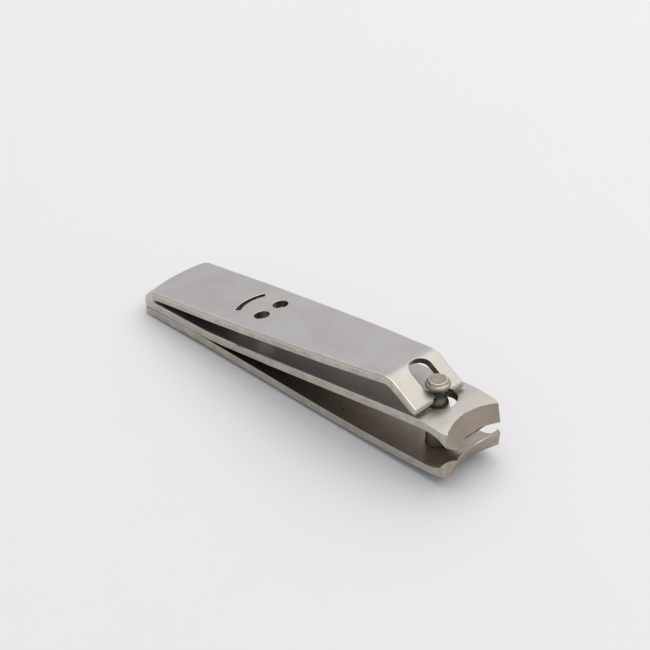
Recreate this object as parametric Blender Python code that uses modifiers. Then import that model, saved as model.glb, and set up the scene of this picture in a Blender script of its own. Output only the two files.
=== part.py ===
"""Nail clipper in its stored position: two sprung blades, a turned pivot pin and a forked lever.

Every size below is in millimetres. Stations are measured along the clipper, heights from the
surface that it rests on. X runs towards the cutting edges, Z is up, and all but the lever's
outline is symmetric about Y = 0. The world origin is under the middle of the outline.
"""

import math

import bmesh
import bpy
from mathutils import Matrix, Vector

MM = 0.001

# Driving sizes.
REAR = -1.2
FRONT = 81.5
MIDDLE = (REAR + FRONT) / 2.0
STRIP = 1.7
REAR_HALF_WIDTH = 7.4
FRONT_HALF_WIDTH = 6.75
EDGE_HALF_WIDTH = 5.4
LAMINATION_GAP = 0.12
PARTING_STATION = 13.0
PARTING_HEIGHT = 0.64
WHEEL_RADIUS = 14.5

# Pivot pin and lever, about the axis that the lever tilts on.
PIN_STATION = 71.8
TILT_HEIGHT = 13.5
WAIST_RADIUS = 1.25
HEAD_RADIUS = 2.25
SHANK_RADIUS = 2.45
UPPER_HOLE_RADIUS = 3.45

LEVER_REAR = 0.9
LEVER_BEND = 66.5
LEVER_STRIP = 1.6
LEVER_SKEW = 0.0114
PRONG_SLOPE = math.radians(31.5)
FLAT_SLOPE = math.radians(10.35)
BEND_RADIUS = 3.4
PRONG_TOP = 0.7
FOOT_UNDER = 0.65
FOOT_REACH = 1.33
SLOT_HALF_WIDTH = 2.42
TOOTH_HALF_GAP = 1.45
SLOT_LENGTH = 7.3
EYE_STATION = 28.8
EYE_OFFSET = 2.35
EYE_RADIUS = 1.5
MOUTH_RADIUS = 6.5
MOUTH_HALF_WIDTH = 0.55
MOUTH_ENDS = (147.0, 213.0)

# Under face of both blades where they are welded together, rear to front.
TAIL_BOW = [(REAR - 0.5, 0.03), (1.0, 0.03), (6.0, 0.36), (16.5, 0.72)]

# Smallest height at which a cutter is sure to pass through everything.
CUT_DEPTH = 60.0
CURVE_STEPS = 6
ARC_STEPS = 8


def world(station, height):
    """Metres in the XZ plane for a station and a height in millimetres."""
    return ((station - MIDDLE) * MM, height * MM)


def smooth_line(points, steps=CURVE_STEPS):
    """Points along a smooth curve that passes through the given ones (Catmull-Rom)."""
    ends = [points[0], *points, points[-1]]
    line = []
    for a, b, c, d in zip(ends, ends[1:], ends[2:], ends[3:]):
        for i in range(steps):
            t = i / steps
            line.append(tuple(
                0.5 * (2 * q + (r - p) * t + (2 * p - 5 * q + 4 * r - s) * t * t
                       + (3 * q - p - 3 * r + s) * t ** 3)
                for p, q, r, s in zip(a, b, c, d)
            ))
    line.append(tuple(points[-1]))
    return line


def arc(centre, radius, start, end, steps=ARC_STEPS):
    """Points on an arc, its angles in degrees."""
    angles = [math.radians(start + (end - start) * i / steps) for i in range(steps + 1)]
    return [(centre[0] + radius * math.cos(a), centre[1] + radius * math.sin(a)) for a in angles]


def mirrored(half):
    """A closed outline from its half at positive Y."""
    return half + [(x, -y) for x, y in reversed(half)]


def slab(name, outline, depth, placement):
    """A mesh object: a flat outline in metres, made depth thick about its own plane."""
    curve = bpy.data.curves.new(name, "CURVE")
    curve.dimensions = "2D"
    curve.fill_mode = "BOTH"
    curve.extrude = depth / 2.0
    spline = curve.splines.new("POLY")
    spline.points.add(len(outline) - 1)
    for point, (x, y) in zip(spline.points, outline):
        point.co = (x, y, 0.0, 1.0)
    spline.use_cyclic_u = True
    drawn = bpy.data.objects.new(name + "_outline", curve)
    bpy.context.scene.collection.objects.link(drawn)
    evaluated = drawn.evaluated_get(bpy.context.evaluated_depsgraph_get())
    mesh = bpy.data.meshes.new_from_object(evaluated)
    bpy.data.objects.remove(drawn)
    mesh.name = name
    mesh.transform(placement)
    weld(mesh)
    solid = bpy.data.objects.new(name, mesh)
    bpy.context.scene.collection.objects.link(solid)
    return solid


def weld(mesh):
    """Join coincident points and turn every face outwards."""
    work = bmesh.new()
    work.from_mesh(mesh)
    bmesh.ops.remove_doubles(work, verts=work.verts, dist=1e-7)
    bmesh.ops.recalc_face_normals(work, faces=work.faces)
    work.to_mesh(mesh)
    work.free()


def upright():
    """Stands a drawn outline up, so that its second coordinate is height."""
    return Matrix.Rotation(math.radians(90.0), 4, "X")


def cylinder(name, radius, depth, centre, turn=None, sides=64):
    """A cylinder whose axis is vertical before turn tips it about its centre."""
    mesh = bpy.data.meshes.new(name)
    work = bmesh.new()
    bmesh.ops.create_cone(
        work, cap_ends=True, segments=sides, radius1=radius, radius2=radius, depth=depth
    )
    work.to_mesh(mesh)
    work.free()
    mesh.transform(Matrix.Translation(centre) @ (turn or Matrix()))
    solid = bpy.data.objects.new(name, mesh)
    bpy.context.scene.collection.objects.link(solid)
    return solid


def combine(target, tool, operation, cutters):
    """Leave an exact Boolean on target, with its tool kept as a wire cutter."""
    modifier = target.modifiers.new(operation.title(), "BOOLEAN")
    modifier.operation = operation
    modifier.object = tool
    modifier.solver = "EXACT"
    bpy.context.scene.collection.objects.unlink(tool)
    cutters.objects.link(tool)
    tool.hide_render = True
    tool.display_type = "WIRE"


def finish(target, colour, roughness, origin, parts):
    """Freeze the cuts, break the edges, put the origin in place and give the finish."""
    evaluated = target.evaluated_get(bpy.context.evaluated_depsgraph_get())
    mesh = bpy.data.meshes.new_from_object(evaluated)
    target.modifiers.clear()
    target.data = mesh
    weld(mesh)
    mesh.transform(Matrix.Translation(-Vector(origin)))
    target.location = origin
    mesh.shade_smooth()
    mesh.set_sharp_from_angle(angle=math.radians(32.0))
    steel = bpy.data.materials.new(target.name + "_steel")
    steel.use_nodes = True
    shader = steel.node_tree.nodes["Principled BSDF"]
    shader.inputs["Base Color"].default_value = (*colour, 1.0)
    shader.inputs["Metallic"].default_value = 1.0
    shader.inputs["Roughness"].default_value = roughness
    mesh.materials.clear()
    mesh.materials.append(steel)
    bpy.context.scene.collection.objects.unlink(target)
    parts.objects.link(target)


def blade_plan(name):
    """The plan outline that both blades share: bowed rear, slight taper and narrowed jaws."""
    half = [
        (REAR, 0.0),
        (REAR + 0.08, 2.2),
        (REAR + 0.3, 4.4),
        (REAR + 0.6, 6.0),
        (REAR + 1.1, 6.9),
        (REAR + 1.9, REAR_HALF_WIDTH),
        (78.9, FRONT_HALF_WIDTH),
        (79.9, FRONT_HALF_WIDTH - 0.2),
        (FRONT, EDGE_HALF_WIDTH),
    ]
    outline = [world(x, y) for x, y in mirrored(half)[1:]]
    return slab(name, outline, CUT_DEPTH * MM, Matrix())


def jaw_grinder(name, edge_station, edge_height, lean):
    """The round wheel that hollows a jaw's front, leaning by lean degrees from upright."""
    turn = Matrix.Rotation(math.radians(lean), 4, "Y")
    reach = WHEEL_RADIUS / math.cos(math.radians(lean))
    x, z = world(edge_station + reach, edge_height)
    return cylinder(name, WHEEL_RADIUS * MM, CUT_DEPTH * MM, Vector((x, 0.0, z)), turn, sides=128)


def strip_profile(lower, upper):
    """A closed side profile from the two long faces of a strip, both drawn rear to front."""
    return [world(x, z) for x, z in smooth_line(lower) + list(reversed(smooth_line(upper)))]


def make_lower_blade(parts, cutters):
    """Lower blade: flat tail, long shallow bow, and a lip that turns up to the cutting edge."""
    bow = [
        *TAIL_BOW, (32.0, 0.7), (46.0, 0.63), (56.0, 0.74), (65.0, 1.03), (71.8, 1.4),
    ]
    under = bow + [
        (76.5, 1.9), (79.0, 2.5), (80.8, 3.35), (82.4, 4.6), (83.0, 6.4),
    ]
    inside = [(x, z + STRIP) for x, z in bow]
    inside += [(76.0, 3.4), (78.3, 4.25), (79.3, 5.4), (80.3, 6.45), (82.0, 7.0)]
    blade = slab("lower_blade", strip_profile(under, inside), 20.0 * MM, upright())
    combine(blade, blade_plan("lower_plan"), "INTERSECT", cutters)
    combine(blade, jaw_grinder("lower_grinder", 80.2, 6.4, 25.0), "DIFFERENCE", cutters)
    hole = (SHANK_RADIUS + 0.02) * MM
    x, z = world(PIN_STATION, 0.0)
    combine(blade, cylinder("lower_hole", hole, CUT_DEPTH * MM, Vector((x, 0.0, z))),
            "DIFFERENCE", cutters)
    finish(blade, (0.42, 0.40, 0.36), 0.32, (0.0, 0.0, 0.0), parts)


def make_upper_blade(parts, cutters):
    """Upper blade: lies on the lower one at the rear, then springs up to the pin and jaws."""
    tail = STRIP + LAMINATION_GAP
    spring = [
        *TAIL_BOW, (20.5, 1.1), (30.0, 2.33), (43.4, 4.3), (55.0, 6.07), (66.4, 7.83),
        (73.7, 8.82),
    ]
    under = [(x, z + tail) for x, z in spring]
    under += [(77.2, 10.7), (78.7, 10.2), (79.7, 9.45), (80.6, 9.15), (82.8, 8.9)]
    top = [(x, z + tail + STRIP) for x, z in spring]
    top += [(77.2, 12.3), (79.0, 12.15), (80.5, 11.9), (82.8, 11.1)]
    blade = slab("upper_blade", strip_profile(under, top), 20.0 * MM, upright())
    combine(blade, blade_plan("upper_plan"), "INTERSECT", cutters)
    combine(blade, jaw_grinder("upper_grinder", 80.25, 9.2, -35.0), "DIFFERENCE", cutters)
    x, z = world(PIN_STATION, 0.0)
    hole = cylinder("upper_hole", UPPER_HOLE_RADIUS * MM, CUT_DEPTH * MM, Vector((x, 0.0, z)))
    combine(blade, hole, "DIFFERENCE", cutters)
    x, z = world(PARTING_STATION, PARTING_HEIGHT + tail)
    finish(blade, (0.50, 0.49, 0.46), 0.30, (x, 0.0, z), parts)


def make_pin(parts):
    """Turned pin: rivet head below, thick shank, waist for the lever's teeth, and a head."""
    t = TILT_HEIGHT
    outer = [
        (0.0, t + 2.95), (1.65, t + 2.95), (1.8, t + 2.82), (1.82, t + 2.55),
        (HEAD_RADIUS - 0.12, t + 2.42), (HEAD_RADIUS, t + 2.22), (HEAD_RADIUS, t + 1.8),
        (HEAD_RADIUS - 0.05, t + 1.6),
        (1.4, t + 0.98), (WAIST_RADIUS, t + 0.55), (WAIST_RADIUS, t - 0.45), (1.4, t - 0.95),
        (1.75, t - 1.5), (1.95, t - 2.3), (SHANK_RADIUS - 0.15, t - 4.8),
        (SHANK_RADIUS - 0.1, 1.4 + STRIP), (SHANK_RADIUS - 0.1, 1.15),
        (SHANK_RADIUS + 0.9, 1.1), (SHANK_RADIUS + 0.8, 0.5), (SHANK_RADIUS + 0.3, 0.1),
        (SHANK_RADIUS - 0.3, 0.0), (0.0, 0.0),
    ]
    mesh = bpy.data.meshes.new("pivot_pin")
    work = bmesh.new()
    points = [work.verts.new((r * MM, 0.0, h * MM)) for r, h in outer]
    for a, b in zip(points, points[1:]):
        work.edges.new((a, b))
    work.to_mesh(mesh)
    work.free()
    pin = bpy.data.objects.new("pivot_pin", mesh)
    bpy.context.scene.collection.objects.link(pin)
    turned = pin.modifiers.new("Turned", "SCREW")
    turned.axis = "Z"
    turned.steps = 64
    turned.render_steps = 64
    turned.use_merge_vertices = True
    turned.merge_threshold = 1e-7
    x, z = world(PIN_STATION, 0.0)
    finish(pin, (0.33, 0.30, 0.26), 0.4, (0.0, 0.0, 0.0), parts)
    pin.location = (x, 0.0, 0.0)


def lever_profile():
    """Side profile: a flat arm that rises to one bend, and a prong that thins to its foot."""
    prong = Vector((math.cos(PRONG_SLOPE), -math.sin(PRONG_SLOPE)))
    arm = Vector((-math.cos(FLAT_SLOPE), -math.sin(FLAT_SLOPE)))
    prong_up = Vector((-prong.y, prong.x))
    arm_up = Vector((arm.y, -arm.x))
    axis = Vector((PIN_STATION, TILT_HEIGHT))
    half_turn = (PRONG_SLOPE + FLAT_SLOPE) / 2.0
    top = axis + prong_up * PRONG_TOP
    crest = top - prong * ((top.x - LEVER_BEND) / prong.x)
    between = (prong_up + arm_up).normalized()
    corner = crest - between * (LEVER_STRIP / 2.0 / math.cos(half_turn))
    start = corner + arm * (BEND_RADIUS * math.tan(half_turn))
    rear = start + arm * ((start.x - LEVER_REAR + 1.0) / -arm.x)
    centre = start - arm_up * BEND_RADIUS
    faces = []
    for side in (1.0, -1.0):
        radius = BEND_RADIUS + side * LEVER_STRIP / 2.0
        first = 90.0 + math.degrees(FLAT_SLOPE)
        last = 90.0 - math.degrees(PRONG_SLOPE)
        face = [rear + arm_up * side * LEVER_STRIP / 2.0]
        face += [Vector(p) for p in arc(centre, radius, first, last)]
        faces.append(face)
    foot = [
        (FOOT_REACH - 0.75, PRONG_TOP), (FOOT_REACH - 0.4, PRONG_TOP - 0.09),
        (FOOT_REACH - 0.13, PRONG_TOP - 0.3), (FOOT_REACH, PRONG_TOP - 0.65),
        (FOOT_REACH, 0.5 - FOOT_UNDER), (FOOT_REACH - 0.1, 0.22 - FOOT_UNDER),
        (FOOT_REACH - 0.35, -FOOT_UNDER),
    ]
    faces[0] += [axis + prong * reach + prong_up * rise for reach, rise in foot]
    return [world(p.x, p.y) for p in faces[0] + list(reversed(faces[1]))]


def lever_plan():
    """Plan outline of the lever: bowed rear, a taper to the fork, and cut a little askew."""
    half = [
        (LEVER_REAR, 0.0), (LEVER_REAR + 0.12, 2.4), (LEVER_REAR + 0.42, 4.6),
        (LEVER_REAR + 0.8, 6.2), (LEVER_REAR + 1.25, 6.95), (LEVER_REAR + 2.1, 7.3),
    ]
    half += smooth_line([(20.0, 7.4), (36.0, 7.2), (50.0, 6.85), (60.0, 6.35), (66.0, 6.05)])
    half += [(72.0, 6.0), (PIN_STATION + 6.0, 6.0)]
    outline = [world(x, y - LEVER_SKEW * (x - LEVER_REAR)) for x, y in mirrored(half)[1:]]
    return slab("lever_plan", outline, CUT_DEPTH * MM, Matrix())


def fork_slot():
    """Slot between the prongs, drawn in their plane about the tilt axis, front end open."""
    half = [(-SLOT_LENGTH + SLOT_HALF_WIDTH * (1 - math.cos(math.radians(a))),
             SLOT_HALF_WIDTH * math.sin(math.radians(a))) for a in range(0, 91, 10)]
    half += [
        (-1.7, SLOT_HALF_WIDTH), (-0.65, TOOTH_HALF_GAP), (0.4, TOOTH_HALF_GAP),
        (0.6, 1.95), (0.75, 2.15), (1.0, 2.35), (1.2, 2.75), (1.3, 3.3), (4.0, 3.6),
    ]
    outline = [(x * MM, y * MM) for x, y in mirrored(half)[1:]]
    x, z = world(PIN_STATION, TILT_HEIGHT)
    tilt = Matrix.Translation((x, 0.0, z)) @ Matrix.Rotation(PRONG_SLOPE, 4, "Y")
    return slab("fork_slot", outline, 12.0 * MM, tilt)


def make_lever(parts, cutters):
    """Lever: one bent strip with a forked end and a simple cheerful cut-out near its rear."""
    lever = slab("lever", lever_profile(), 20.0 * MM, upright())
    combine(lever, lever_plan(), "INTERSECT", cutters)
    combine(lever, fork_slot(), "DIFFERENCE", cutters)
    for side in (-1.0, 1.0):
        x, z = world(EYE_STATION, 0.0)
        centre = Vector((x, side * EYE_OFFSET * MM, z))
        eye = cylinder("eye_hole", EYE_RADIUS * MM, CUT_DEPTH * MM, centre, sides=32)
        combine(lever, eye, "DIFFERENCE", cutters)
    middle, (first, last) = (EYE_STATION, 0.0), MOUTH_ENDS
    mouth = arc(middle, MOUTH_RADIUS + MOUTH_HALF_WIDTH, first, last, 14)
    mouth += arc(middle, MOUTH_RADIUS - MOUTH_HALF_WIDTH, last, first, 14)
    slot = slab("mouth_slot", [world(x, y) for x, y in mouth], CUT_DEPTH * MM, Matrix())
    combine(lever, slot, "DIFFERENCE", cutters)
    x, z = world(PIN_STATION, TILT_HEIGHT)
    finish(lever, (0.52, 0.52, 0.52), 0.30, (x, 0.0, z), parts)


def main():
    """Build the four pieces."""
    for old in list(bpy.data.objects):
        bpy.data.objects.remove(old)
    parts = bpy.data.collections.new("nail_clipper")
    cutters = bpy.data.collections.new("cutters")
    bpy.context.scene.collection.children.link(parts)
    bpy.context.scene.collection.children.link(cutters)
    make_lower_blade(parts, cutters)
    make_upper_blade(parts, cutters)
    make_pin(parts)
    make_lever(parts, cutters)


main()
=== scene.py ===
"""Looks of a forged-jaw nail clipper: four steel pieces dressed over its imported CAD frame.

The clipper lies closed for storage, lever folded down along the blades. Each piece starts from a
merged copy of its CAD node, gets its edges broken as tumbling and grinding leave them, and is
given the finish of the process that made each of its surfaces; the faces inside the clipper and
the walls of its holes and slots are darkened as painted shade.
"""

import logging
import math
from dataclasses import dataclass, field
from enum import Enum

import bmesh
import bpy
from mathutils import Matrix, Vector


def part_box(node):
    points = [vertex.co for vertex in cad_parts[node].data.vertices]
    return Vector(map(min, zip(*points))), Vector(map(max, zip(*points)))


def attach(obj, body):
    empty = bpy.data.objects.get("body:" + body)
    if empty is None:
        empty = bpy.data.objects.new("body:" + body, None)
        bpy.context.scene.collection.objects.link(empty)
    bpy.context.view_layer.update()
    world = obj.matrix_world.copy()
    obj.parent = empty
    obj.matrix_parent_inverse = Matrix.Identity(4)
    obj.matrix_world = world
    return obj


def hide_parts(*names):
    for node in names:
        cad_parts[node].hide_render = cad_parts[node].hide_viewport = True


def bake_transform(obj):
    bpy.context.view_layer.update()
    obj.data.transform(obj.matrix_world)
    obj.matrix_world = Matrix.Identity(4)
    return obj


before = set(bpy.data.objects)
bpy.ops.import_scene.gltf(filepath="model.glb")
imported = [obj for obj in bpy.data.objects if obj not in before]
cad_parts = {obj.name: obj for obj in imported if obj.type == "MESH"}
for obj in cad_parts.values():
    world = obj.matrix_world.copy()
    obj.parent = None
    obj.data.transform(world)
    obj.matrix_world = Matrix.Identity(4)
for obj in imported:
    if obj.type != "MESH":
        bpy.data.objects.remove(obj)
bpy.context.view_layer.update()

LOG = logging.getLogger("nail_clipper")
MM = 0.001

# A copy of a CAD node: how near its loose corners are to be one, and how flat counts as flat.
LOOSE_CORNER_MM = 0.001
FLAT_ANGLE = math.radians(0.3)
SHARP_ANGLE = math.radians(28.0)

# How far a unit normal points along an axis when its face counts as facing that way.
FACES_SIDE = 0.6
FACES_REAR = 0.75
FACES_FRONT = 0.55
FACES_IN = 0.2
WALL_TILT = 0.5
LEVER_WALL_TILT = 0.35
WALL_SWING = 0.25

# How far a face or an edge may lie from where it is looked for.
HOLE_SLACK_MM = 0.1
EDGE_HEIGHT_SLACK_MM = 1.5


def linear_colour(hex_colour: str) -> tuple[float, float, float, float]:
    """Turn an sRGB hex colour into linear RGBA.

    Args:
        hex_colour: six hex digits with a leading hash.

    Returns:
        Red, green, blue and an alpha of 1, in linear light.
    """
    channels = [int(hex_colour[i:i + 2], 16) / 255.0 for i in (1, 3, 5)]
    lifted = [c / 12.92 if c <= 0.04045 else ((c + 0.055) / 1.055) ** 2.4 for c in channels]
    return (lifted[0], lifted[1], lifted[2], 1.0)


def add_node(
    tree: bpy.types.NodeTree,
    kind: str,
    links: dict[str | int, bpy.types.NodeSocket] | None = None,
    values: dict[str | int, object] | None = None,
    **settings: object,
) -> bpy.types.Node:
    """Add a node with its settings, input values and incoming links.

    Args:
        tree: the node tree that gets the node.
        kind: the node's type name.
        links: input socket name or number to the output socket that feeds it.
        values: input socket name or number to its own value.
        settings: attributes of the node itself.

    Returns:
        The new node.
    """
    node = tree.nodes.new(kind)
    for name, setting in settings.items():
        setattr(node, name, setting)
    for socket, value in (values or {}).items():
        node.inputs[socket].default_value = value
    for socket, source in (links or {}).items():
        tree.links.new(source, node.inputs[socket])
    return node


class Coordinates(Enum):
    """What a pattern sticks to: a rigid piece's own space, or a place kept on a bending strip."""

    RIGID = "rigid"
    BENDING = "bending"


class Grain(Enum):
    """Which way the marks of a process run."""

    TUMBLED = "no direction, as ceramic chips leave it"
    UPRIGHT = "across the strip's edge, from its blanking and belt grinding"
    ALONG_JAW = "along the cutting edge, from the grinding wheel"
    TURNED = "rings round the pin's axis, from the lathe tool"


class Surface(Enum):
    """Part of a piece's skin, by how it was worked."""

    SATIN = "outer face of the strip"
    OUTLINE = "blanked long edge"
    BEVEL = "hollow-ground front"
    PUNCHED = "wall of a punched hole or slot"
    INNER = "face inside the clipper"
    LAND = "honed strip along a cutting edge"
    TURNED = "turned face of the pin"
    BROKEN_EDGE = "rounding of a sharp edge"


@dataclass(frozen=True)
class SteelFinish:
    """Stainless steel and how one of its surfaces was worked.

    Attributes:
        name: the material's name, its metal and process.
        clean: colour of the clean metal.
        dull: colour of its duller patches.
        patch_mm: size of those patches.
        roughness: middle of its roughness.
        roughness_spread: how far the roughness strays either way.
        grain: which way its marks run.
        grain_mm: width of a mark.
        grain_length_mm: length of a mark.
        grain_depth_mm: height of the relief that the marks make.
        speck: colour of pits and tarnish specks.
        speck_mm: size of a speck.
        speck_share: how readily specks appear, from 0 to 1.
        axis_mm: station of the turning axis in the world, for a turned finish.
    """

    name: str
    clean: str
    dull: str
    patch_mm: float
    roughness: float
    roughness_spread: float
    grain: Grain
    grain_mm: float
    grain_length_mm: float
    grain_depth_mm: float
    speck: str = "#6B5F52"
    speck_mm: float = 0.5
    speck_share: float = 0.15
    axis_mm: float = 0.0

    def frequency(self) -> tuple[float, float, float]:
        """Marks per millimetre along X, Y and Z."""
        fine, long = 1.0 / self.grain_mm, 1.0 / self.grain_length_mm
        return {
            Grain.TUMBLED: (fine, fine, fine),
            Grain.UPRIGHT: (fine, fine, long),
            Grain.ALONG_JAW: (fine, long, fine),
            Grain.TURNED: (fine, long, fine),
        }[self.grain]

    def place_in_mm(self, tree: bpy.types.NodeTree, coordinates: Coordinates) -> bpy.types.NodeSocket:
        """Millimetre place on the piece, which the patterns read.

        Args:
            tree: the material's node tree.
            coordinates: whether the piece is rigid or bends.

        Returns:
            The vector output that holds the place.
        """
        if coordinates is Coordinates.BENDING:
            source = add_node(tree, "ShaderNodeAttribute", attribute_name=PLACE).outputs["Vector"]
        else:
            source = add_node(tree, "ShaderNodeTexCoord").outputs["Object"]
        scaled = add_node(
            tree, "ShaderNodeVectorMath", {0: source}, {"Scale": 1.0 / MM}, operation="SCALE"
        )
        return scaled.outputs["Vector"]

    def round_axis(self, tree: bpy.types.NodeTree, place: bpy.types.NodeSocket) -> bpy.types.NodeSocket:
        """Replace X and Y by the distance from the turning axis, so that marks become rings."""
        centred = add_node(
            tree, "ShaderNodeVectorMath", {0: place}, {1: (self.axis_mm, 0.0, 0.0)},
            operation="SUBTRACT",
        )
        split = add_node(tree, "ShaderNodeSeparateXYZ", {0: centred.outputs["Vector"]})
        flat = add_node(
            tree, "ShaderNodeCombineXYZ", {"X": split.outputs["X"], "Y": split.outputs["Y"]}
        )
        radius = add_node(
            tree, "ShaderNodeVectorMath", {0: flat.outputs["Vector"]}, operation="LENGTH"
        )
        turned = add_node(
            tree, "ShaderNodeCombineXYZ",
            {"X": radius.outputs["Value"], "Z": split.outputs["Z"]},
        )
        return turned.outputs["Vector"]

    def material(self, coordinates: Coordinates) -> bpy.types.Material:
        """Build the finish as a node material.

        Args:
            coordinates: whether the piece that gets it is rigid or bends.

        Returns:
            The material.
        """
        steel = bpy.data.materials.new(f"{self.name}_{coordinates.value}")
        steel.use_nodes = True
        tree = steel.node_tree
        shader = tree.nodes["Principled BSDF"]
        shader.inputs["Metallic"].default_value = 1.0
        place = self.place_in_mm(tree, coordinates)

        mark_place = self.round_axis(tree, place) if self.grain is Grain.TURNED else place
        mark_place = add_node(
            tree, "ShaderNodeVectorMath", {0: mark_place}, {1: self.frequency()},
            operation="MULTIPLY",
        )
        marks = add_node(
            tree, "ShaderNodeTexNoise", {"Vector": mark_place.outputs["Vector"]},
            {"Scale": 1.0, "Detail": 3.0, "Roughness": 0.6},
        )
        patches = add_node(
            tree, "ShaderNodeTexNoise", {"Vector": place},
            {"Scale": 1.0 / self.patch_mm, "Detail": 3.0, "Roughness": 0.55, "Distortion": 0.6},
        )
        patch_share = add_node(
            tree, "ShaderNodeMapRange", {"Value": patches.outputs["Fac"]},
            {"From Min": 0.36, "From Max": 0.64},
        )
        specks = add_node(
            tree, "ShaderNodeTexNoise", {"Vector": place},
            {"Scale": 1.0 / self.speck_mm, "Detail": 2.0, "Roughness": 0.7},
        )
        speck_start = 0.80 - 0.25 * self.speck_share
        speck_share = add_node(
            tree, "ShaderNodeMapRange", {"Value": specks.outputs["Fac"]},
            {"From Min": speck_start, "From Max": speck_start + 0.06, "To Max": 0.8},
        )

        ground = add_node(
            tree, "ShaderNodeMix", {"Factor": patch_share.outputs["Result"]},
            {6: linear_colour(self.clean), 7: linear_colour(self.dull)}, data_type="RGBA",
        )
        marked = add_node(
            tree, "ShaderNodeMapRange", {"Value": marks.outputs["Fac"]},
            {"From Min": 0.25, "From Max": 0.75, "To Min": 0.90, "To Max": 1.06},
        )
        shaded = add_node(
            tree, "ShaderNodeVectorMath",
            {0: ground.outputs[2], "Scale": marked.outputs["Result"]}, operation="SCALE",
        )
        pitted = add_node(
            tree, "ShaderNodeMix",
            {"Factor": speck_share.outputs["Result"], 6: shaded.outputs["Vector"]},
            {7: linear_colour(self.speck)}, data_type="RGBA",
        )
        tree.links.new(pitted.outputs[2], shader.inputs["Base Color"])

        uneven = add_node(
            tree, "ShaderNodeMath",
            {0: marks.outputs["Fac"], 1: patch_share.outputs["Result"]}, operation="ADD",
        )
        roughness = add_node(
            tree, "ShaderNodeMapRange", {"Value": uneven.outputs["Value"]},
            {
                "From Min": 0.4, "From Max": 1.6,
                "To Min": self.roughness - self.roughness_spread,
                "To Max": self.roughness + self.roughness_spread,
            },
        )
        tree.links.new(roughness.outputs["Result"], shader.inputs["Roughness"])

        relief = add_node(
            tree, "ShaderNodeMath",
            {0: marks.outputs["Fac"], 1: speck_share.outputs["Result"]},
            operation="SUBTRACT",
        )
        bump = add_node(
            tree, "ShaderNodeBump", {"Height": relief.outputs["Value"]},
            {"Strength": 1.0, "Distance": self.grain_depth_mm * MM},
        )
        tree.links.new(bump.outputs["Normal"], shader.inputs["Normal"])
        return steel


# Name of the attribute that keeps each point's place at rest on a strip that bends.
PLACE = "place_at_rest"

# Satin faces of the strip: rolled stainless, ceramic tumbled, so the sheen is soft and cloudy.
# Real chips leave marks under 0.05 mm wide; they are drawn four times as coarse to show at all.
TUMBLED_STEEL = SteelFinish(
    name="stainless_steel_tumbled", clean="#B9B8B8", dull="#B1B0AE", patch_mm=11.0,
    roughness=0.42, roughness_spread=0.02, grain=Grain.TUMBLED, grain_mm=0.22,
    grain_length_mm=0.22, grain_depth_mm=0.005, speck_share=0.1,
)
# Long edges: blanked, then cleaned on a belt, so fine upright lines and a drier beige look.
GROUND_EDGE = SteelFinish(
    name="stainless_steel_belt_ground", clean="#C6C2B6", dull="#B4AFA2", patch_mm=3.0,
    roughness=0.42, roughness_spread=0.06, grain=Grain.UPRIGHT, grain_mm=0.18,
    grain_length_mm=1.6, grain_depth_mm=0.012,
)
# Jaw bevels: hollow ground on a wheel and left unpolished, so warm, dark and mottled.
HOLLOW_GROUND = SteelFinish(
    name="stainless_steel_hollow_ground", clean="#B5AB9F", dull="#ABA195", patch_mm=1.2,
    roughness=0.44, roughness_spread=0.05, grain=Grain.ALONG_JAW, grain_mm=0.11,
    grain_length_mm=0.7, grain_depth_mm=0.008, speck_share=0.15,
)
# Honed land of a cutting edge: the last touch of a fine stone, so bright and clean.
HONED_LAND = SteelFinish(
    name="stainless_steel_honed", clean="#DAD9D6", dull="#C9C7C2", patch_mm=1.5,
    roughness=0.24, roughness_spread=0.04, grain=Grain.ALONG_JAW, grain_mm=0.12,
    grain_length_mm=2.0, grain_depth_mm=0.004, speck_share=0.05,
)
# Edges that the chips reach first are burnished brighter than the faces.
BURNISHED_EDGE = SteelFinish(
    name="stainless_steel_burnished", clean="#D8D6CF", dull="#CCC9C0", patch_mm=2.5,
    roughness=0.36, roughness_spread=0.03, grain=Grain.TUMBLED, grain_mm=0.3,
    grain_length_mm=0.3, grain_depth_mm=0.003, speck_share=0.02,
)
# Walls of punched holes and of the fork: torn by the punch and never ground, so rough; their dark brown
# is painted shade inside the holes and slots.
PUNCHED_WALL = SteelFinish(
    name="stainless_steel_punched_painted_shade", clean="#8F857A", dull="#6F655B", patch_mm=0.8,
    roughness=0.46, roughness_spread=0.08, grain=Grain.UPRIGHT, grain_mm=0.2,
    grain_length_mm=1.2, grain_depth_mm=0.03, speck_share=0.3,
)
# Faces inside the clipper: the same strip with brown tarnish spots here and there; its colour is darker
# and warmer than the outer faces as painted shade between the blades.
INNER_FACE = SteelFinish(
    name="stainless_steel_spotted_painted_shade", clean="#ABA49D", dull="#9C948C", patch_mm=4.0,
    roughness=0.38, roughness_spread=0.03, grain=Grain.TUMBLED, grain_mm=0.25,
    grain_length_mm=0.25, grain_depth_mm=0.006, speck="#6A4A30", speck_mm=1.3, speck_share=0.5,
)


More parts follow.
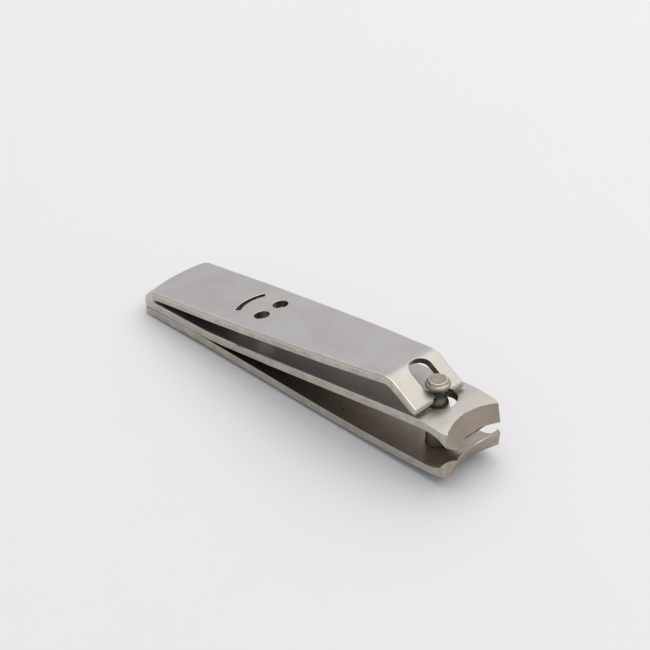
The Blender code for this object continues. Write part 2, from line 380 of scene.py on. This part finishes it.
@dataclass
class SteelPiece:
    """One steel piece dressed over its CAD node.

    Attributes:
        node: the CAD node that it copies and replaces.
        body: the CAD body that carries it.
        name: its own name.
        slot: the record's material slot; not used.
        finishes: the finish of each surface, in the order of its material slots.
        coordinates: whether it is rigid or bends.
        break_mm: widest rounding of its edges.
        segments: steps across that rounding.
        sliver_mm: edges shorter than this are closed up, as they would tear the rounding.
    """

    node: str
    body: str
    name: str
    slot: str
    finishes: dict[Surface, SteelFinish] = field(default_factory=dict)
    coordinates: Coordinates = Coordinates.RIGID
    break_mm: float = 0.2
    segments: int = 3
    sliver_mm: float = 0.1
    low: Vector = field(init=False)
    high: Vector = field(init=False)

    def __post_init__(self) -> None:
        """Read the CAD node's corners, which every place on the piece is measured from."""
        self.low, self.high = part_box(self.node)

    def copy_node(self) -> bmesh.types.BMesh:
        """Copy the CAD node as one clean closed skin of flat and gently curved faces."""
        work = bmesh.new()
        work.from_mesh(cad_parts[self.node].data)
        bmesh.ops.remove_doubles(work, verts=work.verts, dist=LOOSE_CORNER_MM * MM)
        bmesh.ops.dissolve_limit(
            work, angle_limit=FLAT_ANGLE, verts=work.verts, edges=work.edges
        )
        bmesh.ops.remove_doubles(work, verts=work.verts, dist=self.sliver_mm * MM)
        return work

    def shape(self, work: bmesh.types.BMesh) -> None:
        """Add what the CAD leaves out, before the edges are broken."""

    def surface_of(self, face: bmesh.types.BMFace) -> Surface:
        """Surface that a face belongs to."""
        return next(iter(self.finishes))

    def slot_of(self, surface: Surface) -> int:
        """Number of the material slot that holds a surface's finish."""
        return list(self.finishes).index(surface)

    def surfaces_at(self, edge: bmesh.types.BMEdge) -> set[Surface]:
        """Surfaces that meet at an edge."""
        surfaces = list(self.finishes)
        return {surfaces[face.material_index] for face in edge.link_faces}

    def edge_break(self, edge: bmesh.types.BMEdge) -> float:
        """Share of the widest rounding that a sharp edge gets."""
        return 1.0

    def build(self) -> bpy.types.Object:
        """Make the piece: its skin, finishes, broken edges and body.

        Returns:
            The finished object.
        """
        work = self.copy_node()
        for face in work.faces:
            face.smooth = True
            face.material_index = self.slot_of(self.surface_of(face))
        self.shape(work)
        weights = work.edges.layers.float.new("bevel_weight_edge")
        for edge in work.edges:
            if edge.is_manifold and edge.calc_face_angle() > SHARP_ANGLE:
                edge[weights] = self.edge_break(edge)
                edge.smooth = edge[weights] > 0.0
        if self.coordinates is Coordinates.BENDING:
            places = work.verts.layers.float_vector.new(PLACE)
            for vert in work.verts:
                vert[places] = vert.co
        mesh = bpy.data.meshes.new(self.name)
        work.to_mesh(mesh)
        work.free()
        piece = bpy.data.objects.new(self.name, mesh)
        bpy.context.scene.collection.objects.link(piece)
        for finish in self.finishes.values():
            mesh.materials.append(finish.material(self.coordinates))
        broken = piece.modifiers.new("broken_edges", "BEVEL")
        broken.width = self.break_mm * MM
        broken.segments = self.segments
        broken.limit_method = "WEIGHT"
        broken.use_clamp_overlap = False
        broken.material = self.slot_of(Surface.BROKEN_EDGE)
        flattened = piece.modifiers.new("flat_faces_stay_flat", "WEIGHTED_NORMAL")
        flattened.keep_sharp = True
        self.attach(piece)
        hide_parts(self.node)
        LOG.info("%s: %d faces over node %s", self.name, len(mesh.polygons), self.node)
        return piece

    def attach(self, piece: bpy.types.Object) -> None:
        """Let the piece ride on its body."""
        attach(piece, self.body)


@dataclass
class Blade(SteelPiece):
    """A blade of bent strip whose front is ground hollow to a cutting edge.

    Attributes:
        bevel_reach_mm: how far back from the front the ground bevel can start.
        edge_height_mm: height of the cutting edge.
        land_mm: width of the honed land along the cutting edge.
        land_reach_mm: how far the land runs to either side of the middle.
        hole_radius_mm: radius of the pin's hole.
        hole_x: place of the pin's hole along X, in metres.
        inner_side: 1 if its inner face looks up, -1 if down.
        crisp_mm: how far back from the front its outline is ground crisp.
    """

    finishes: dict[Surface, SteelFinish] = field(default_factory=lambda: {
        Surface.SATIN: TUMBLED_STEEL,
        Surface.OUTLINE: GROUND_EDGE,
        Surface.BEVEL: HOLLOW_GROUND,
        Surface.PUNCHED: PUNCHED_WALL,
        Surface.INNER: INNER_FACE,
        Surface.LAND: HONED_LAND,
        Surface.BROKEN_EDGE: BURNISHED_EDGE,
    })
    sliver_mm: float = 0.15
    bevel_reach_mm: float = 5.0
    edge_height_mm: float = 9.0
    land_mm: float = 0.22
    land_reach_mm: float = 5.2
    hole_radius_mm: float = 3.45
    inner_side: float = 1.0
    crisp_mm: float = 3.0
    hole_x: float = field(init=False)

    def __post_init__(self) -> None:
        """Find the pin, whose hole the blade has."""
        super().__post_init__()
        pin_low, pin_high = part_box("pivot_pin")
        self.hole_x = (pin_low.x + pin_high.x) / 2.0

    def in_hole(self, place: Vector) -> bool:
        """True on the wall of the pin's hole."""
        reach = math.hypot(place.x - self.hole_x, place.y)
        return reach < (self.hole_radius_mm + HOLE_SLACK_MM) * MM

    def surface_of(self, face: bmesh.types.BMFace) -> Surface:
        """Hollow-ground bevel, punched hole, belt-ground outline, or a flat of the strip."""
        normal, middle = face.normal, face.calc_center_median()
        if self.in_hole(middle) and abs(normal.z) < WALL_TILT:
            return Surface.PUNCHED
        if middle.x > self.high.x - self.bevel_reach_mm * MM and normal.x > FACES_FRONT:
            return Surface.BEVEL
        if abs(normal.y) > FACES_SIDE or normal.x < -FACES_REAR:
            return Surface.OUTLINE
        return Surface.INNER if normal.z * self.inner_side > FACES_IN else Surface.SATIN

    def is_cutting_edge(self, edge: bmesh.types.BMEdge) -> bool:
        """True where the bevel ends sharp, near the cutting height."""
        if len(edge.link_faces) != 2 or edge.calc_face_angle() < SHARP_ANGLE:
            return False
        if Surface.BEVEL not in self.surfaces_at(edge):
            return False
        height = sum(v.co.z for v in edge.verts) / 2.0
        near_middle = max(abs(v.co.y) for v in edge.verts) < self.land_reach_mm * MM
        return near_middle and abs(height - self.edge_height_mm * MM) < EDGE_HEIGHT_SLACK_MM * MM

    def shape(self, work: bmesh.types.BMesh) -> None:
        """Hone a narrow land along the cutting edge."""
        made = bmesh.ops.bevel(
            work, geom=[e for e in work.edges if self.is_cutting_edge(e)], offset=self.land_mm * MM,
            offset_type="OFFSET", segments=1, profile=0.5, affect="EDGES", material=-1,
            clamp_overlap=False,
        )
        for face in made["faces"]:
            face.material_index = self.slot_of(Surface.LAND)
            face.smooth = True

    def edge_break(self, edge: bmesh.types.BMEdge) -> float:
        """Ground corners and the land stay crisp; the outline is tumbled round."""
        surfaces = self.surfaces_at(edge)
        if surfaces & {Surface.BEVEL, Surface.LAND}:
            return 0.0
        behind = (self.high.x - max(v.co.x for v in edge.verts)) / MM
        fade = min(max((behind - self.crisp_mm) / self.crisp_mm, 0.0), 1.0)
        return fade * (0.3 if surfaces & {Surface.PUNCHED, Surface.INNER} else 1.0)


@dataclass
class LowerBlade(Blade):
    """The blade that the clipper stands on."""

    edge_height_mm: float = 6.6
    hole_radius_mm: float = 2.47


@dataclass
class UpperBlade(Blade):
    """The sprung blade, which bends as the clipper closes.

    Attributes:
        row_mm: spacing of the rows that let it bend.
        bend_start_mm: X of the end of the weld, where it starts to bend.
        bend_end_mm: X from where it stays straight.
    """

    coordinates: Coordinates = Coordinates.BENDING
    inner_side: float = -1.0
    row_mm: float = 2.5
    bend_start_mm: float = -23.4
    bend_end_mm: float = 18.6

    def shape(self, work: bmesh.types.BMesh) -> None:
        """Add rows across the strip, then hone the edge."""
        count = int((self.bend_end_mm - self.bend_start_mm) / self.row_mm) + 4
        for row in range(count):
            x = (self.bend_start_mm + (row - 2) * self.row_mm) * MM
            bmesh.ops.bisect_plane(
                work, geom=work.verts[:] + work.edges[:] + work.faces[:], dist=1e-7,
                plane_co=(x, 0.0, 0.0), plane_no=(1.0, 0.0, 0.0),
            )
        super().shape(work)

    def attach(self, piece: bpy.types.Object) -> None:
        """Keep the piece where it lies, its placement baked into its mesh."""
        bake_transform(piece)


@dataclass
class PivotPin(SteelPiece):
    """The turned pin with its rivet head, waist and button head."""

    node: str = "pivot_pin"
    body: str = "pin"
    name: str = "turned_pin"
    slot: str = "pin_steel"
    break_mm: float = 0.1
    segments: int = 3
    sliver_mm: float = 0.02

    def __post_init__(self) -> None:
        """Centre the turned finish on the pin's axis."""
        super().__post_init__()
        axis = (self.low.x + self.high.x) / 2.0 / MM
        # Turned and left as it came off the lathe: rings, brownish and a little greasy.
        turned = SteelFinish(
            name="stainless_steel_turned", clean="#9E978D", dull="#878077", patch_mm=1.6,
            roughness=0.34, roughness_spread=0.07, grain=Grain.TURNED, grain_mm=0.16,
            grain_length_mm=4.0, grain_depth_mm=0.014, speck_share=0.2, axis_mm=axis,
        )
        # Its chamfers are rubbed bright by the lever.
        rubbed = SteelFinish(
            name="stainless_steel_rubbed", clean="#C6C1B8", dull="#B0AAA0", patch_mm=1.0,
            roughness=0.24, roughness_spread=0.05, grain=Grain.TURNED, grain_mm=0.12,
            grain_length_mm=4.0, grain_depth_mm=0.005, axis_mm=axis,
        )
        self.finishes = {Surface.TURNED: turned, Surface.BROKEN_EDGE: rubbed}


@dataclass
class Lever(SteelPiece):
    """The lever: a flat thumb arm with a plain cut-out, one bend and a forked front.

    Attributes:
        outline_from_mm: a side wall further out than this is outline, and nearer in a cut-out.
        rear_reach_mm: how far the bowed rear end reaches forward.
    """

    node: str = "lever"
    body: str = "lever"
    name: str = "forked_lever"
    slot: str = "lever_steel"
    finishes: dict[Surface, SteelFinish] = field(default_factory=lambda: {
        Surface.SATIN: TUMBLED_STEEL,
        Surface.OUTLINE: GROUND_EDGE,
        Surface.PUNCHED: PUNCHED_WALL,
        Surface.INNER: INNER_FACE,
        Surface.BROKEN_EDGE: BURNISHED_EDGE,
    })
    break_mm: float = 0.42
    outline_from_mm: float = 4.2
    rear_reach_mm: float = 3.0

    def surface_of(self, face: bmesh.types.BMFace) -> Surface:
        """Belt-ground outline, punched wall inside the outline, underside darkened with painted shade,
        or satin.
        """
        normal, middle = face.normal, face.calc_center_median()
        if abs(normal.y) > FACES_SIDE:
            outside = abs(middle.y) > self.outline_from_mm * MM
            return Surface.OUTLINE if outside else Surface.PUNCHED
        if normal.x < -FACES_REAR and middle.x < self.low.x + self.rear_reach_mm * MM:
            return Surface.OUTLINE
        on_wall = abs(normal.y) > WALL_SWING or abs(normal.z) < LEVER_WALL_TILT
        if on_wall and middle.x > self.low.x + self.rear_reach_mm * MM:
            return Surface.PUNCHED
        return Surface.INNER if normal.z < -FACES_IN else Surface.SATIN

    def edge_break(self, edge: bmesh.types.BMEdge) -> float:
        """The outline's top is tumbled round; the cut-outs and the underside stay crisper."""
        surfaces = self.surfaces_at(edge)
        if Surface.PUNCHED in surfaces:
            return 0.3
        return 0.4 if Surface.INNER in surfaces else 1.0


@dataclass
class SoftBox:
    """A large soft studio light that faces the clipper.

    Attributes:
        name: the light's name.
        direction: from the clipper to the light.
        distance: how far off it stands, in metres.
        width: its width in metres.
        height: its height in metres.
        radiance: how bright its face is, 1 being white.
        colour: its colour.
    """

    name: str
    direction: tuple[float, float, float]
    distance: float
    width: float
    height: float
    radiance: float
    colour: str = "#FFFFFF"

    def build(self) -> None:
        """Place the light and aim it at the clipper."""
        lamp = bpy.data.lights.new(self.name, "AREA")
        lamp.shape = "RECTANGLE"
        lamp.size = self.width
        lamp.size_y = self.height
        lamp.energy = self.radiance * math.pi * self.width * self.height
        lamp.color = linear_colour(self.colour)[:3]
        holder = bpy.data.objects.new(self.name, lamp)
        bpy.context.scene.collection.objects.link(holder)
        towards = Vector(self.direction).normalized()
        holder.location = towards * self.distance
        holder.rotation_euler = (-towards).to_track_quat("-Z", "Y").to_euler()
        LOG.info("light %s: %.2f W", self.name, lamp.energy)


@dataclass
class Studio:
    """Pale floor, grey surroundings and soft lights.

    Attributes:
        floor_size: side of the floor in metres.
        surround: colour of the room around.
        floor: colour of the floor.
        lights: the soft boxes.
    """

    floor_size: float = 6.0
    surround: str = "#B8B6B6"
    floor: str = "#E6E9F2"
    lights: tuple[SoftBox, ...] = (
        SoftBox("overhead_box", (0.1, 0.3, 0.95), 0.9, 1.6, 1.35, 1.28, "#FFF9E9"),
        SoftBox("window_wall", (-0.76, 0.62, 0.34), 1.3, 2.4, 0.9, 0.5, "#F5F5FB"),
    )

    def build(self) -> None:
        """Make the floor, the surroundings and the lights."""
        work = bmesh.new()
        bmesh.ops.create_grid(work, x_segments=1, y_segments=1, size=self.floor_size / 2.0)
        mesh = bpy.data.meshes.new("floor")
        work.to_mesh(mesh)
        work.free()
        floor = bpy.data.objects.new("floor", mesh)
        bpy.context.scene.collection.objects.link(floor)
        mesh.materials.append(self.floor_material())
        world = bpy.data.worlds.new("studio_surround")
        world.use_nodes = True
        world.node_tree.nodes["Background"].inputs["Color"].default_value = linear_colour(
            self.surround
        )
        bpy.context.scene.world = world
        for light in self.lights:
            light.build()
        bpy.context.scene.view_settings.view_transform = "Standard"
        bpy.context.scene.view_settings.look = "None"

    def floor_material(self) -> bpy.types.Material:
        """Matte card with a faint mottle."""
        card = bpy.data.materials.new("card_matte_coated")
        card.use_nodes = True
        tree = card.node_tree
        shader = tree.nodes["Principled BSDF"]
        shader.inputs["Roughness"].default_value = 0.75
        place = add_node(tree, "ShaderNodeTexCoord").outputs["Object"]
        mottle = add_node(tree, "ShaderNodeTexNoise", {"Vector": place}, {"Scale": 40.0})
        red, green, blue, _ = linear_colour(self.floor)
        colour = add_node(
            tree, "ShaderNodeMix", {"Factor": mottle.outputs["Fac"]},
            {6: (red, green, blue, 1.0), 7: (red * 0.985, green * 0.985, blue * 0.985, 1.0)},
            data_type="RGBA",
        )
        tree.links.new(colour.outputs[2], shader.inputs["Base Color"])
        return card


@dataclass
class ProductCamera:
    """The camera that looks down on the jaws from the front right.

    Attributes:
        target_mm: the point that it looks at.
        distance_mm: how far from that point it stands.
        heading: direction that it looks in, in degrees from X towards Y.
        dip: how far it looks down, in degrees.
        roll: how far it is turned about its line of sight, in degrees.
        lens_mm: focal length.
        sensor_mm: sensor width.
    """

    target_mm: tuple[float, float, float] = (-7.466, 9.788, 4.0)
    distance_mm: float = 451.48
    heading: float = 137.628
    dip: float = 35.038
    roll: float = -2.525
    lens_mm: float = 132.92
    sensor_mm: float = 36.0

    def build(self) -> None:
        """Place the camera and make it the scene's own."""
        heading, dip, roll = (math.radians(a) for a in (self.heading, self.dip, self.roll))
        forward = Vector((
            math.cos(heading) * math.cos(dip), math.sin(heading) * math.cos(dip), -math.sin(dip)
        ))
        level = Vector((math.sin(heading), -math.cos(heading), 0.0))
        right = Matrix.Rotation(-roll, 3, forward) @ level
        above = right.cross(forward)
        lens = bpy.data.cameras.new("product_camera")
        lens.lens = self.lens_mm
        lens.sensor_width = self.sensor_mm
        lens.clip_start = 0.01
        lens.clip_end = 20.0
        camera = bpy.data.objects.new("product_camera", lens)
        bpy.context.scene.collection.objects.link(camera)
        turn = Matrix((right, above, -forward)).transposed().to_4x4()
        place = Vector(self.target_mm) * MM - forward * self.distance_mm * MM
        camera.matrix_world = Matrix.Translation(place) @ turn
        bpy.context.scene.camera = camera


def main() -> None:
    """Build the studio, the camera and the four pieces in order."""
    logging.basicConfig(level=logging.INFO, format="%(name)s: %(message)s")
    Studio().build()
    ProductCamera().build()
    LowerBlade("lower_blade", "lower_blade", "lower_blade_strip", "lower_blade_steel").build()
    UpperBlade("upper_blade", "upper_blade", "upper_blade_strip", "upper_blade_steel").build()
    PivotPin().build()
    Lever().build()


if __name__ == "__main__":
    main()
